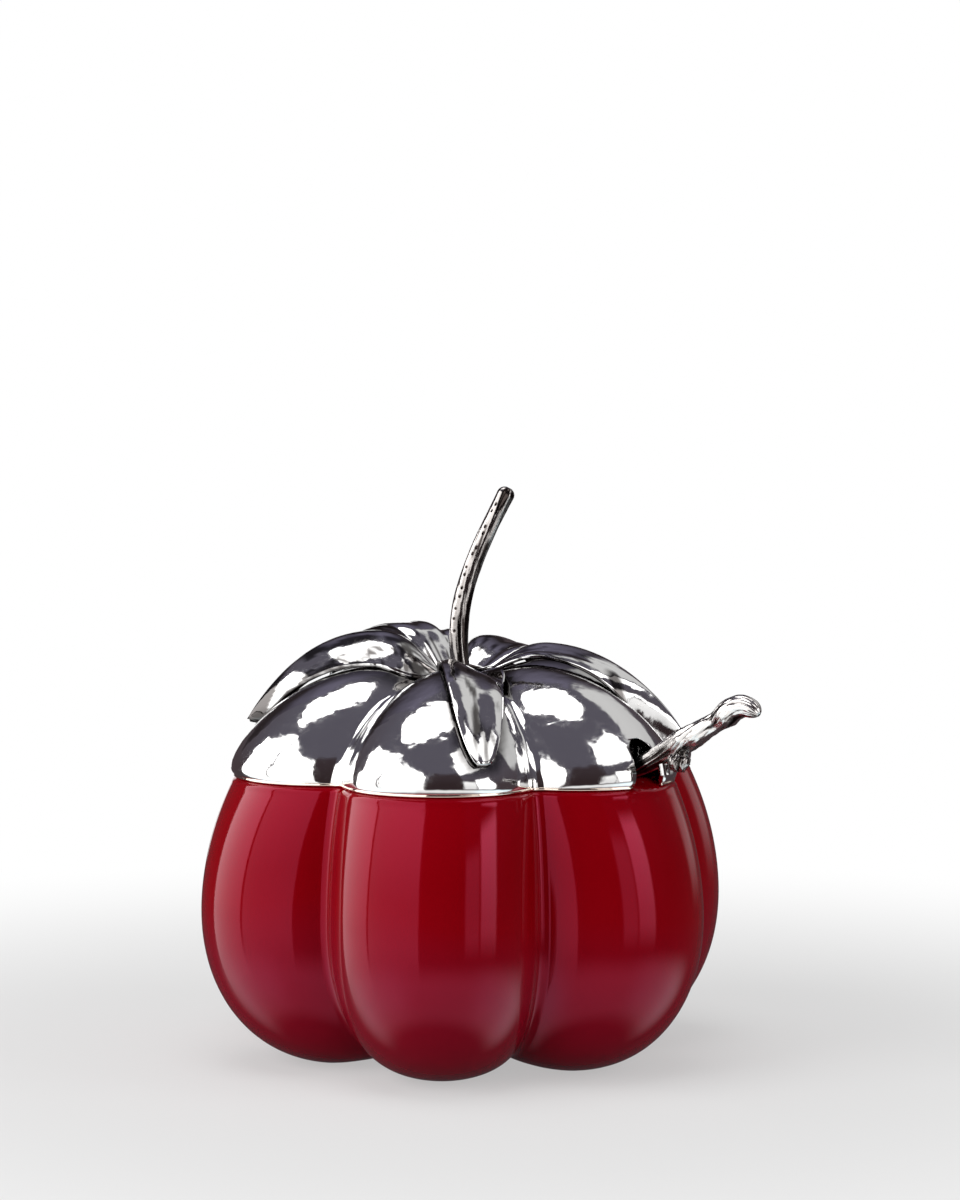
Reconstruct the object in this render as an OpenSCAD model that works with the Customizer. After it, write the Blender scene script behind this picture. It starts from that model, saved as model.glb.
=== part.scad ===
// Lidded jam pot shaped like a ribbed gourd, with a leaf-and-stem lid and a twig-handled spoon.
// Millimetres, +Z up. The pot's axis is Z, it stands on Z = 0, and its front faces -Y.
// Bearings are degrees from the front, positive towards +X.

/* [Pot] */
// Radius over the lobes at the widest level
belly_r = 60; // [54:0.5:66]
// Height of the widest level
belly_z = 33.8; // [31:0.1:37]
// Radius at which the lobes touch the table
foot_r = 30; // [27:0.5:33]
// Height at which the shoulder starts to round over
shoulder_z = 61.6; // [59:0.1:64]
// Radius over the lobes at the shoulder
shoulder_r = 53; // [49:0.1:56]
// Radius of one lobe's curve seen from above
lobe_r = 22.6; // [21:0.1:24]
// Radius of the hollow between two lobes
groove_r = 2.2; // [1.6:0.1:3]
// Bearing of the front lobe
lobe_turn = -9.3; // [-30:0.1:30]
// Thickness of the pot's wall
pot_wall = 5; // [4:0.1:6]
// Height of the floor inside
floor_z = 7; // [6:0.1:9]
// Height of the mouth's edge above the start of the shoulder
mouth_rise = 2.95; // [2.4:0.05:3.4]
// Radius of the ground disc under the middle
disc_r = 14; // [10:0.5:15]

/* [Lid] */
// Height of the lid's lower edge above the start of the shoulder
lid_gap = 1.7; // [1.5:0.1:2]
// How far the lid's edge stands in from the pot's shoulder
lid_inset = 0.7; // [0.4:0.1:1]
// Height of the dome's ridge above the lid's edge
dome_rise = 23.5; // [21:0.1:28]
// Radius of the dome's ridge
ridge_r = 19; // [16:0.5:22]
// How far the lid sinks in the middle, around the stem
well_drop = 3.3; // [2:0.1:6]
// Thickness of the dome's sheet
sheet = 1; // [0.8:0.05:1.2]
// Thickness of the edge bead
bead = 0.9; // [0.7:0.05:1]
// Depth of the collar that drops into the mouth
collar_drop = 6; // [4:0.5:8]
// Thickness of the collar
collar_t = 0.8; // [0.6:0.05:1]
// Width of the arched notch for the spoon
notch_w = 6.8; // [6.4:0.1:8]
// Height of the notch above the lid's edge
notch_h = 10; // [9:0.1:12]

/* [Leaves and stem] */
// Bearing of the front leaf, which turns the others with it
leaf_turn = 4.5; // [-10:0.5:20]
// Thickness of a leaf
leaf_t = 0.9; // [0.7:0.05:1.2]
// Radius of the stem at its foot
stem_r = 2.25; // [2:0.05:2.6]
// Height of the stem's tip above the table
stem_top = 125.4; // [115:0.1:135]
// How far the stem's tip leans to the right
stem_lean = 9.8; // [5:0.1:14]
// Diameter of the screwed shank under the stem
tang_d = 3.8; // [3:0.1:4]
// Diameter of the washer on that shank
washer_d = 10; // [8:0.5:12]
// Size of the nut across its corners
nut_d = 8.1; // [7:0.1:9]

/* [Spoon] */
// Bearing of the spoon
spoon_turn = 48; // [46:0.5:51]
// Thickness of the handle beyond the lid
handle_d = 5.4; // [4.4:0.1:6]
// Thickness of the handle where it crosses the mouth
neck_d = 2.9; // [2.4:0.1:3]
// Thickness of the plain shank
shank_d = 2.6; // [2.2:0.1:3]
// Length of the bowl
bowl_l = 30; // [26:0.5:32]
// Width of the bowl
bowl_w = 19; // [16:0.5:21]
// Depth of the bowl
bowl_depth = 5; // [4:0.5:6]

/* [Hidden] */
$fn = 48;
lobes = 6;
half = 180 / lobes;
arc_steps = 8;
fillet_steps = 2;
p_low = 2.1;
eps = 0.01;

red = "#8c0014";
silver = "#c9ccd0";
mouth_z = shoulder_z + mouth_rise;
lid_z = shoulder_z + lid_gap;
ridge_z = lid_z + dome_rise;
well_z = ridge_z - well_drop;
edge_r = shoulder_r - lid_inset;

// Geometry shared by the pieces

// A point at radius r, bearing a and height z
function at(r, a, z) = [r * sin(a), -r * cos(a), z];

// A point on a cubic curve through four control points
function curve(p, t) =
    pow(1 - t, 3) * p[0] + 3 * t * pow(1 - t, 2) * p[1]
    + 3 * t * t * (1 - t) * p[2] + pow(t, 3) * p[3];

// The unit tangent of that curve
function heading(p, t) =
    let (d = curve(p, min(1, t + eps)) - curve(p, max(0, t - eps)))
    d / norm(d);

// The curve moved sideways by d, to the left of its heading
function beside(p, t, d) = let (h = heading(p, t)) curve(p, t) + d * [-h[1], h[0]];

// One lobe seen from above: [bearing, radius] pairs from one hollow to the next.
// r is the radius over the lobe, a the lobe's own radius and f the hollow's radius.
function lobe(r, a, f) =
    let (
        c = r - a,
        fr = c * cos(half) + sqrt(pow(a + f, 2) - pow(c * sin(half), 2)),
        k = a / (a + f),
        tx = c + (fr * cos(half) - c) * k,
        ty = fr * sin(half) * k,
        meet = atan2(ty, tx),
        span = half - meet
    )
    concat(
        [for (i = [0 : fillet_steps - 1])
            let (w = span * i / fillet_steps)
            [-half + w, fr * cos(w) - sqrt(f * f - pow(fr * sin(w), 2))]],
        [for (i = [0 : arc_steps])
            let (w = meet * (2 * i / arc_steps - 1))
            [w, c * cos(w) + sqrt(a * a - pow(c * sin(w), 2))]],
        [for (i = [1 : fillet_steps - 1])
            let (w = span * (1 - i / fillet_steps))
            [half - w, fr * cos(w) - sqrt(f * f - pow(fr * sin(w), 2))]]
    );

// All the lobes in turn
function outline(r, a, f) =
    let (one = lobe(r, a, f))
    [for (n = [0 : lobes - 1]) for (p = one) [lobe_turn + n * 2 * half + p[0], p[1]]];

// A level ring of that outline
function level(r, a, f, z) = [for (p = outline(r, a, f)) at(p[1], p[0], z)];

// A ring that runs from crest = [r, z] on the lobes to dip = [r, z] in the hollows,
// shaped like the outline o
function wavy(o, crest, dip) =
    let (
        hi = max([for (p = o) p[1]]),
        lo = min([for (p = o) p[1]])
    )
    [for (p = o)
        let (g = (hi - p[1]) / (hi - lo), q = crest + (dip - crest) * g)
        at(q[0], p[0], q[1])];

// Skin over rings of equal count, closed at both ends by the points first and last
module skin(rings, first, last) {
    m = len(rings);
    n = len(rings[0]);
    sides = [for (i = [0 : m - 2]) for (j = [0 : n - 1])
        let (a = i * n + j, b = i * n + (j + 1) % n)
        each [[a, a + n, b], [b, a + n, b + n]]];
    ends = [for (j = [0 : n - 1])
        let (k = (j + 1) % n)
        each [[m * n, j, k], [m * n + 1, (m - 1) * n + k, (m - 1) * n + j]]];
    polyhedron(points = concat([for (r = rings) each r], [first, last]), faces = concat(sides, ends));
}

// Skin over rings that close on themselves
module hoop(rings) {
    m = len(rings);
    n = len(rings[0]);
    faces = [for (i = [0 : m - 1]) for (j = [0 : n - 1])
        let (i2 = (i + 1) % m, a = i * n + j, b = i * n + (j + 1) % n, c = i2 * n + j,
            d = i2 * n + (j + 1) % n)
        each [[a, c, b], [b, c, d]]];
    polyhedron(points = [for (r = rings) each r], faces = faces);
}

// Middle point of a ring
function middle(ring) = [for (k = [0 : 2]) let (v = [for (p = ring) p[k]]) sum(v) / len(v)];
function sum(v, i = 0) = i < len(v) ? v[i] + sum(v, i + 1) : 0;

// Pot

// Radius over the lobes and lobe radius above the belly, t from 0 there to 1 at the shoulder
function upper_r(t) = sqrt(belly_r * belly_r - (belly_r * belly_r - shoulder_r * shoulder_r) * pow(t, 1.88));
function upper_a(t) = lobe_r - 0.6 * t * t;

// Below the belly, a quarter of a rounded square from [r0, z0] at the belly to [r1, z1] at the foot
function lower(r0, z0, r1, z1, t) = [
    r1 + (r0 - r1) * pow(max(0, cos(90 * t)), 2 / p_low),
    z0 + (z1 - z0) * pow(sin(90 * t), 2 / p_low)
];

function smallest(o) = min([for (p = o) p[1]]);
function level_dip(r, a, f) = smallest(lobe(r, a, f));
function grounded(p) = [p[0], max(0, p[1])];

belly_line = outline(belly_r, lobe_r, groove_r);
belly_line_in = outline(belly_r - pot_wall, lobe_r - pot_wall, groove_r + pot_wall);
dip_r = smallest(belly_line);
dip_r_in = smallest(belly_line_in);
dip_foot_r = 22;
dip_foot_z = 3;
floor_r = foot_r + 3;
dip_floor_r = foot_r - 6;
flat_cut = 0.3;
shoulder_a = upper_a(1);

// Inwards step and height along the rounded shoulder and mouth, from the shoulder's start
lip_out = [[0, 0], [0.1, 1.35], [2.2, 1.7], [4.4, mouth_rise]];
lip_in = [[4.4, mouth_rise], [5.6, mouth_rise + 0.5], [6.2, 1.6], [6.1, -1]];

function lip(p) = level(
    shoulder_r - p[0], shoulder_a - p[0], groove_r + p[0], shoulder_z + p[1]);

module pot() {
    under = [for (t = [0.35, 0.7])
        wavy(belly_line, [foot_r * t, dip_foot_z * (1 - t)], [dip_foot_r * t, dip_foot_z])];
    low = [for (i = [9 : -1 : 1])
        let (t = i / 9)
        wavy(belly_line,
            grounded(lower(belly_r, belly_z, foot_r, -flat_cut, t)),
            lower(dip_r, belly_z, dip_foot_r, dip_foot_z, t))];
    high = [for (i = [0 : 6])
        let (t = i / 7)
        level(upper_r(t), upper_a(t), groove_r, belly_z + (shoulder_z - belly_z) * t)];
    rim = concat(
        [for (t = [0, 0.2, 0.45, 0.75, 1]) lip(curve(lip_out, t))],
        [for (t = [0.3, 0.65, 1]) lip(curve(lip_in, t))]);
    in_high = [for (t = [0.8, 0.5, 0.2])
        level(upper_r(t) - pot_wall, upper_a(t) - pot_wall, groove_r + pot_wall,
            belly_z + (shoulder_z - belly_z) * t)];
    in_low = [for (t = [0, 0.25, 0.5, 0.75, 1])
        wavy(belly_line_in,
            lower(belly_r - pot_wall, belly_z, floor_r, floor_z, t),
            lower(dip_r_in, belly_z, dip_floor_r, floor_z + 0.2, t))];
    color(red)
    union() {
        skin(concat(under, low, high, rim, in_high, in_low), [0, 0, dip_foot_z], [0, 0, floor_z]);
        cylinder(r = disc_r, h = dip_foot_z + 1, $fn = 96);
    }
}

// Lid

edge_a = shoulder_a - lid_inset;
edge_f = groove_r + lid_inset;
edge_line = outline(edge_r, edge_a, edge_f);
edge_dip = smallest(edge_line);
dome_z = lid_z + bead;

// The dome's line over a lobe and along a hollow, from the edge to the ridge and on to the middle
crest_out = [[edge_r, dome_z], [edge_r + 5.2, dome_z + 2.3], [ridge_r + 21, ridge_z + 0.2],
    [ridge_r, ridge_z]];
crest_well = [[ridge_r, ridge_z], [12, ridge_z], [7, well_z], [0, well_z]];
dip_out = [[edge_dip, dome_z], [edge_dip + 0.6, dome_z + 3.4], [ridge_r + 13, ridge_z - 5.6],
    [ridge_r, ridge_z - 4.8]];
dip_well = [[ridge_r, ridge_z - 4.8], [12, ridge_z - 4], [6, well_z - 0.5], [0, well_z]];

function dome_ring(o, t, d) = wavy(o, beside(crest_out, t, d), beside(dip_out, t, d));
function well_ring(o, t, d) = wavy(o, beside(crest_well, t, d), beside(dip_well, t, d));

// The arched opening over the spoon, as a bar along the spoon's bearing
module notch(extra = 0) {
    w = notch_w + 2 * extra;
    start = 25;
    reach = 45;
    below = 10;
    rotate([90, 0, spoon_turn])
    translate([0, 0, start])
    linear_extrude(reach)
    union() {
        translate([-w / 2, lid_z - below]) square([w, notch_h + below - w / 2 + extra]);
        translate([0, lid_z + notch_h - w / 2 + extra]) circle(d = w);
    }
}

module lid_dome() {
    line_in = outline(edge_r - sheet, edge_a - sheet, edge_f + sheet);
    inside_top = [for (t = [0.8, 0.45, 0.1]) well_ring(line_in, t, sheet)];
    inside = [for (i = [8.5, 7, 5.5, 4, 2.5, 1, 0]) dome_ring(line_in, i / 9, sheet)];
    side = [for (i = [0 : 8]) dome_ring(edge_line, i / 9, 0)];
    top = [for (t = [0, 0.2, 0.35, 0.5, 0.65, 0.85]) well_ring(edge_line, t, 0)];
    color(silver)
    difference() {
        skin(concat(inside_top, inside, side, top), [0, 0, well_z - sheet], [0, 0, well_z]);
        notch();
        translate([0, 0, well_z - 5]) cylinder(d = tang_d + 0.2, h = 10);
    }
}

// A thin rounded bead that stiffens the edge
module lid_edge_bead() {
    half_b = bead / 2;
    mid = sheet / 2;
    color(silver)
    difference() {
        hoop([for (k = [0 : 5])
            let (s = 0.62 * sheet * cos(60 * k), h = half_b * (1 + sin(60 * k) / sin(60)))
            level(edge_r - mid + s, edge_a - mid + s, edge_f + mid - s, lid_z + h)]);
        notch();
    }
}

// Flat ring that rests on the mouth's edge, with a collar that drops inside it
module lid_collar() {
    rest_z = mouth_z + 0.2;
    outer = sheet - 0.1;
    inner = 5.9;
    taper = 0.5;
    step = [
        [outer, rest_z + collar_t], [inner + collar_t, rest_z + collar_t],
        [inner + collar_t + taper, rest_z - collar_drop], [inner + taper, rest_z - collar_drop],
        [inner, rest_z], [outer, rest_z]
    ];
    color(silver)
    difference() {
        hoop([for (p = step)
            let (d = p[0])
            level(edge_r - d, edge_a - d, edge_f + d, p[1])]);
        notch(0.4);
    }
}

// Leaves

// Line that a leaf follows outwards over a lobe: s from 0 at the stem to 1 at the tip
leaf_start = 0.32;
function leaf_way(s, tip) = leaf_start + s * (2 - tip - leaf_start);
function leaf_line(s, tip) =
    let (u = leaf_way(s, tip))
    u < 1 ? curve(crest_well, 1 - u) : curve(crest_out, 2 - u);

// The same along a hollow, and the direction out of the dome
function leaf_floor(s, tip) =
    let (u = leaf_way(s, tip))
    u < 1 ? curve(dip_well, 1 - u) : curve(dip_out, 2 - u);
function leaf_up(s, tip) =
    let (
        u = leaf_way(s, tip),
        h = u < 1 ? heading(crest_well, 1 - u) : heading(crest_out, 2 - u)
    )
    [h[1], -h[0]];

// Share of the way from a lobe's crest to the hollow at bearing b
function hollow_share(b) =
    let (
        w = abs(((b - lobe_turn + half) % (2 * half) + 2 * half) % (2 * half) - half),
        c = edge_r - edge_a,
        r = w < half - 4
            ? c * cos(w) + sqrt(edge_a * edge_a - pow(c * sin(w), 2))
            : edge_dip + 0.03 * pow(half - w, 2)
    )
    min(1, (edge_r - r) / (edge_r - edge_dip));

// Places across a leaf from edge to edge, and the share of its two folds there
leaf_across = [1, 0.82, 0.6, 0.3, 0, -0.3, -0.6, -0.82, -1];
leaf_fold = [0, 0.74, 1, 0.47, 0, 0.47, 1, 0.74, 0];

// Names of the numbers that shape a leaf
function turn(f) = f[0];
function half_width(f) = f[1];
function waist(f) = f[2];
function lift(f) = f[3];
function tilt(f) = f[4];
function bow(f) = f[5];
function fold(f) = f[6];
function tip(f) = f[7];
function sink(f) = f[8];
function blunt(f) = f[9];

// A row across the leaf at s, seat above the dome
function leaf_row(s, f, seat) =
    let (
        mid = leaf_line(s, tip(f)),
        low = leaf_floor(s, tip(f)),
        up = leaf_up(s, tip(f)),
        full = 1 - waist(f) + waist(f) * sin(200 * pow(s, 0.8)),
        hw = half_width(f) * full * sqrt(1 - pow(s, blunt(f))),
        swell = sin(180 * min(1, s * 1.02))
    )
    [for (k = [0 : len(leaf_across) - 1])
        let (
            x = leaf_across[k],
            b = turn(f) + atan(x * hw / max(mid[0], stem_r)),
            g = hollow_share(b) * (sink(f) + (1 - sink(f)) * pow(abs(x), 1.5)),
            arch = swell * (lift(f) + tilt(f) * x + bow(f) * x * x),
            ridge = fold(f) * leaf_fold[k] * (0.35 + 0.65 * swell),
            p = mid + (low - mid) * g + up * (seat + arch + ridge)
        )
        at(norm([p[0], x * hw]), b, p[1])];

function reversed(v) = [for (i = [len(v) - 1 : -1 : 0]) v[i]];

// A leaf is a thin shell that rises from the well, arches over the ridge and lies down on the lobes.
// Its form is [bearing, half width, share by which the ends are narrower, height of the middle,
// how much more its far side and both its edges rise, height of the folds, how far it stops short
// of the lid's edge, how far its middle follows the hollows, bluntness of its tip].
module leaf(form) {
    n = 16;
    seat = 0.25;
    rings = [for (i = [0 : n])
        let (s = 0.985 * i / n)
        concat(leaf_row(s, form, seat + leaf_t), reversed(leaf_row(s, form, seat)))];
    color(silver) skin(rings, middle(rings[0]), middle(rings[n]));
}

module leaf_front() { leaf([leaf_turn, 7.4, 0.15, 0.2, 0, 0.9, 0.5, 0.26, 1, 4.5]); }
module leaf_right() { leaf([leaf_turn + 79.5, 7.4, 0.45, 3.5, 0.4, -1.1, 0.8, 0.24, 0.35, 5]); }
module leaf_back_right() { leaf([leaf_turn + 145.5, 7.4, 0.45, 3.2, 0, 0.6, 0.8, 0.34, 0.2, 5]); }
module leaf_back_left() { leaf([leaf_turn + 215.5, 8.4, 0.45, 6.8, -1.2, 0, 0.6, 0.38, 0.2, 5]); }
module leaf_left() { leaf([leaf_turn + 267.5, 11.4, 0.5, 5.2, -3.1, -3, 0, 0.4, 0.2, 5]); }

// Stem

stem_foot_z = well_z + 0.9;
stem_path = [[-1, stem_foot_z], [-3.4, stem_foot_z + 17], [2.5, stem_foot_z + 26], [stem_lean, stem_top]];

// A twig: rings along a path in a plane, with long furrows like bark
function furrow(a, s) = 1 + 0.05 * cos(3 * a + 200 * s) + 0.03 * cos(5 * a - 340 * s);

module stem() {
    n = 16;
    sides = 12;
    rings = [for (i = [0 : n])
        let (
            s = i / n,
            c = curve(stem_path, s),
            h = heading(stem_path, s),
            r = stem_r * (1 - 0.22 * s + 0.35 * pow(1 - s, 8) + 0.12 * pow(s, 10))
        )
        [for (k = [0 : sides - 1])
            let (a = 360 * k / sides, q = r * furrow(a, s))
            [c[0] + q * cos(a) * h[1], q * sin(a), c[1] - q * cos(a) * h[0]]]];
    tip = curve(stem_path, 1);
    color(silver)
    union() {
        skin(rings, [stem_path[0][0], 0, stem_foot_z], [tip[0], 0, tip[1] - 0.7]);
        translate([0, 0, well_z - 6.2]) cylinder(d = tang_d, h = 8.2);
    }
}

washer_t = 0.8;
nut_t = 3;
washer_z = well_z - sheet - 1.1;

module stem_washer() {
    color(silver)
    translate([0, 0, washer_z])
    difference() {
        cylinder(d = washer_d, h = washer_t);
        translate([0, 0, -1]) cylinder(d = tang_d + 0.3, h = washer_t + 2);
    }
}

module stem_nut() {
    color(silver)
    translate([0, 0, washer_z - 0.1 - nut_t])
    difference() {
        cylinder(d = nut_d, h = nut_t, $fn = 6);
        translate([0, 0, -1]) cylinder(d = tang_d + 0.1, h = nut_t + 2);
    }
}

// Spoon, drawn in its own upright plane and turned to its bearing

handle_path_in = [[45.6, 65.35], [49, 66.9], [57, 70.2], [62, 73.6]];
handle_path_out = [[62, 73.6], [67, 77], [74, 83.6], [81.4, 81.2]];
shank_path = [[45.6, 65.35], [38, 62], [34, 46], [21, 26.5]];

module in_spoon_plane() { rotate([0, 0, spoon_turn - 90]) children(); }

// A ring round a path point, in the spoon's plane
function rod_ring(c, h, r, sides, wave, s) = [for (k = [0 : sides - 1])
    let (a = 360 * k / sides, q = r * (wave ? furrow(a, s) : 1))
    [c[0] + q * cos(a) * h[1], q * sin(a), c[1] - q * cos(a) * h[0]]];

// Slimmer place on the outer half of the handle, and how much its rounded end narrows
waist_s = 0.52;
waist_span = 0.17;
waist_depth = 0.22;
end_taper = 0.58;

module spoon_handle() {
    n = 12;
    sides = 12;
    first = [for (i = [0 : n - 1])
        let (s = i / n)
        rod_ring(curve(handle_path_in, s), heading(handle_path_in, s),
            neck_d / 2 + (handle_d - neck_d) / 2 * pow(s, 1.2), sides, true, s)];
    second = [for (i = [0 : n])
        let (s = i / n)
        rod_ring(curve(handle_path_out, s), heading(handle_path_out, s),
            handle_d / 2 * (1 - waist_depth * exp(-pow((s - waist_s) / waist_span, 2)) - end_taper * pow(s, 9)),
            sides, true, 1 + s)];
    tip = curve(handle_path_out, 1);
    ahead = heading(handle_path_out, 1);
    color(silver)
    in_spoon_plane()
    union() {
        skin(concat(first, second),
            [handle_path_in[0][0], 0, handle_path_in[0][1]],
            [tip[0] + 0.4 * ahead[0], 0, tip[1] + 0.4 * ahead[1]]);
        translate([61.4, -0.9, 69.8]) sphere(d = 4.2, $fn = 32);
        translate([59.8, -1.2, 69.4]) sphere(d = 3, $fn = 32);
    }
}

module spoon_peg() {
    color(silver)
    in_spoon_plane()
    translate([56.9, 0, 66.1])
    rotate([0, -12, 0])
    cylinder(d = 2.5, h = 3.4);
}

module spoon_shank() {
    n = 14;
    sides = 10;
    rings = [for (i = [0 : n])
        let (s = i / n)
        rod_ring(curve(shank_path, s), heading(shank_path, s), shank_d / 2, sides, false, s)];
    end = curve(shank_path, 1);
    color(silver)
    in_spoon_plane()
    skin(rings, [shank_path[0][0], 0, shank_path[0][1]], [end[0], 0, end[1]]);
}

// Oval bowl, open upwards, tilted down from the end of the shank
bowl_tilt = 38;
bowl_t = 1.1;

module spoon_bowl() {
    sides = 20;
    outer = [for (a = [15, 35, 55, 75, 90])
        [for (k = [0 : sides - 1])
            let (b = 360 * k / sides, narrow = 1 - 0.18 * cos(b))
            [bowl_l / 2 * sin(a) * cos(b), bowl_w / 2 * sin(a) * sin(b) * narrow, -bowl_depth * cos(a)]]];
    inner = [for (a = [90, 70, 45, 20])
        [for (k = [0 : sides - 1])
            let (b = 360 * k / sides, narrow = 1 - 0.18 * cos(b))
            [(bowl_l / 2 - bowl_t) * sin(a) * cos(b), (bowl_w / 2 - bowl_t) * sin(a) * sin(b) * narrow,
                -(bowl_depth - bowl_t) * cos(a)]]];
    end = shank_path[3];
    color(silver)
    in_spoon_plane()
    translate([end[0], 0, end[1]])
    rotate([0, -bowl_tilt, 0])
    translate([-bowl_l / 2 + 0.6, 0, 0])
    skin(concat(outer, inner), [0, 0, -bowl_depth], [0, 0, bowl_t - bowl_depth]);
}

pot();
lid_dome();
lid_edge_bead();
lid_collar();
leaf_front();
leaf_right();
leaf_back_right();
leaf_back_left();
leaf_left();
stem();
stem_washer();
stem_nut();
spoon_handle();
spoon_peg();
spoon_shank();
spoon_bowl();
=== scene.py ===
"""Looks of a lidded jam pot: glazed ribbed body, planished silver-plated lid with leaves, stem and spoon.

Sizes are in millimetres in the settings and metres in the meshes. The pot's axis is Z, it stands on
Z = 0 and faces -Y. Bearings are degrees from the front, positive towards +X.
"""

import math
from collections.abc import Callable
from functools import lru_cache
from typing import NamedTuple

import bmesh
import bpy
from bpy.props import FloatProperty, FloatVectorProperty, PointerProperty
from mathutils import Matrix, Vector, noise
from mathutils.kdtree import KDTree


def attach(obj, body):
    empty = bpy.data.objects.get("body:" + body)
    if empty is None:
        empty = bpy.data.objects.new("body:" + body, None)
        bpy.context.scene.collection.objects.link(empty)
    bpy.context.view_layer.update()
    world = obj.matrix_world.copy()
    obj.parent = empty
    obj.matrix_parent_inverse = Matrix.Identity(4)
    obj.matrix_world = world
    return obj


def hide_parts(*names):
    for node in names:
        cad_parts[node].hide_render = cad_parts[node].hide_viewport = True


bl_info = {
    "name": "Jam pot looks",
    "version": (1, 0, 0),
    "blender": (4, 5, 0),
    "location": "View3D > Sidebar > Jam pot",
    "description": "Dresses the packed jam pot with smooth surfaces, materials, a stage and a camera",
    "category": "Object",
}

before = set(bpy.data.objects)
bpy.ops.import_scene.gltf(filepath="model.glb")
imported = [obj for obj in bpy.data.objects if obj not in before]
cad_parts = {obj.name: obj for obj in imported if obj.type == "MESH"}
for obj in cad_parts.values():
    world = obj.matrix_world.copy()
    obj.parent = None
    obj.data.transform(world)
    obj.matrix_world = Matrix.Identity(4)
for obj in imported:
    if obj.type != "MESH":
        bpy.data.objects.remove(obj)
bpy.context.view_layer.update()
MM = 0.001
LOBES = 6
HALF = 180 / LOBES


def linear(text):
    """Turns an sRGB hex colour into linear red, green and blue."""
    channels = [int(text[i : i + 2], 16) / 255 for i in (1, 3, 5)]
    return tuple(c / 12.92 if c <= 0.04045 else ((c + 0.055) / 1.055) ** 2.4 for c in channels)


def size(text, value, low, high):
    """A length setting in millimetres."""
    return FloatProperty(name=text, description=f"{text}, in millimetres", default=value, min=low, max=high)


def colour(text, value):
    """A colour setting, given as sRGB hex."""
    return FloatVectorProperty(
        name=text, description=text, subtype="COLOR", size=3, min=0, max=1, default=linear(value)
    )


class JamPotSizes(bpy.types.PropertyGroup):
    """Sizes that the pieces share, the same as the construction's."""

    belly_r: size("Radius over the lobes at the widest level", 60, 54, 66)
    belly_z: size("Height of the widest level", 33.8, 31, 37)
    foot_r: size("Radius at which the lobes touch the table", 30, 27, 33)
    shoulder_z: size("Height at which the shoulder starts to round over", 61.6, 59, 64)
    shoulder_r: size("Radius over the lobes at the shoulder", 53, 49, 56)
    lobe_r: size("Radius of one lobe seen from above", 22.6, 21, 24)
    groove_r: size("Radius of the hollow between two lobes", 2.2, 1.6, 3)
    pot_wall: size("Thickness of the pot's wall", 5, 4, 6)
    floor_z: size("Height of the floor inside", 7, 6, 9)
    mouth_rise: size("Height of the mouth's edge above the shoulder", 2.95, 2.4, 3.4)
    disc_r: size("Radius of the ground disc under the pot", 14, 10, 15)
    lid_gap: size("Height of the lid's edge above the shoulder", 1.7, 1.5, 2)
    lid_inset: size("Step from the pot's shoulder in to the lid's edge", 0.7, 0.4, 1)
    dome_rise: size("Height of the dome's ridge above its edge", 23.5, 21, 28)
    ridge_r: size("Radius of the dome's ridge", 19, 16, 22)
    well_drop: size("Depth of the well round the stem", 3.3, 2, 6)
    sheet: size("Thickness of the dome's sheet", 1, 0.8, 1.2)
    notch_w: size("Width of the spoon's notch", 6.8, 6.4, 8)
    notch_h: size("Height of the spoon's notch", 10, 9, 12)


class JamPotColours(bpy.types.PropertyGroup):
    """Colours of the finishes."""

    glaze: colour("Red glaze", "#810009")
    glaze_deep: colour("Red glaze where it is thicker", "#86020d")
    # Painted reflection: the glaze's colour low on the pot, pinker for the floor's glow that the glaze
    # mirrors there
    glaze_floor_glow: colour("Red glaze low on the pot, with the floor's glow painted in", "#810e20")
    glaze_mirror: colour("Tint of what the glaze mirrors", "#ff6a94")
    silver: colour("Polished silver plate", "#e4e3e2")
    worn: colour("Silver worn thin over the brass on the lid's edge", "#f1dfcf")
    rubbed: colour("Rubbed silver on the handle's ridges", "#d6d2cf")
    dull: colour("Dull silver on the stem's ridges", "#aaa5a2")
    # Dark in the bark's furrows for their oxide, and painted shade under and round the leaves and on the
    # stem's sides
    tarnish_and_shade: colour("Darkened silver in furrows and under the leaves", "#332d2b")
    floor: colour("Floor", "#c4c4c4")


class JamPotSettings(bpy.types.PropertyGroup):
    """Everything that a user would change."""

    sizes: PointerProperty(type=JamPotSizes)
    colours: PointerProperty(type=JamPotColours)


def sizes():
    """The scene's size settings."""
    return bpy.context.scene.jam_pot.sizes


def colours():
    """The scene's colour settings."""
    return bpy.context.scene.jam_pot.colours


# Shapes that the pieces share


def at(r, bearing, z):
    """A point in metres from a radius and height in millimetres and a bearing in degrees."""
    a = math.radians(bearing)
    return Vector((r * math.sin(a), -r * math.cos(a), z)) * MM


def curve(p, t):
    """A point on a cubic curve through four control points."""
    s = 1 - t
    return p[0] * s**3 + p[1] * 3 * t * s * s + p[2] * 3 * t * t * s + p[3] * t**3


def heading(p, t):
    """The unit tangent of that curve."""
    step = 0.01
    return (curve(p, min(1, t + step)) - curve(p, max(0, t - step))).normalized()


def beside(p, t, d):
    """The curve moved sideways by d, to the left of its heading."""
    h = heading(p, t)
    return curve(p, t) + Vector((-h.y, h.x)) * d


def vectors(*points):
    """Control points as vectors."""
    return [Vector(p) for p in points]


def soft(distance, width):
    """Smooth step from 0 at an edge to 1 at width from it. No width gives 1."""
    x = min(1, max(0, distance / width)) if width else 1
    return x * x * (3 - 2 * x)


@lru_cache(maxsize=None)
def lobe_parts(r, a, f):
    """Centre distance, hollow's centre distance and bearing where lobe and hollow meet."""
    c = r - a
    half = math.radians(HALF)
    fr = c * math.cos(half) + math.sqrt((a + f) ** 2 - (c * math.sin(half)) ** 2)
    k = a / (a + f)
    meet = math.degrees(math.atan2(fr * math.sin(half) * k, c + (fr * math.cos(half) - c) * k))
    return c, fr, meet


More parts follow.
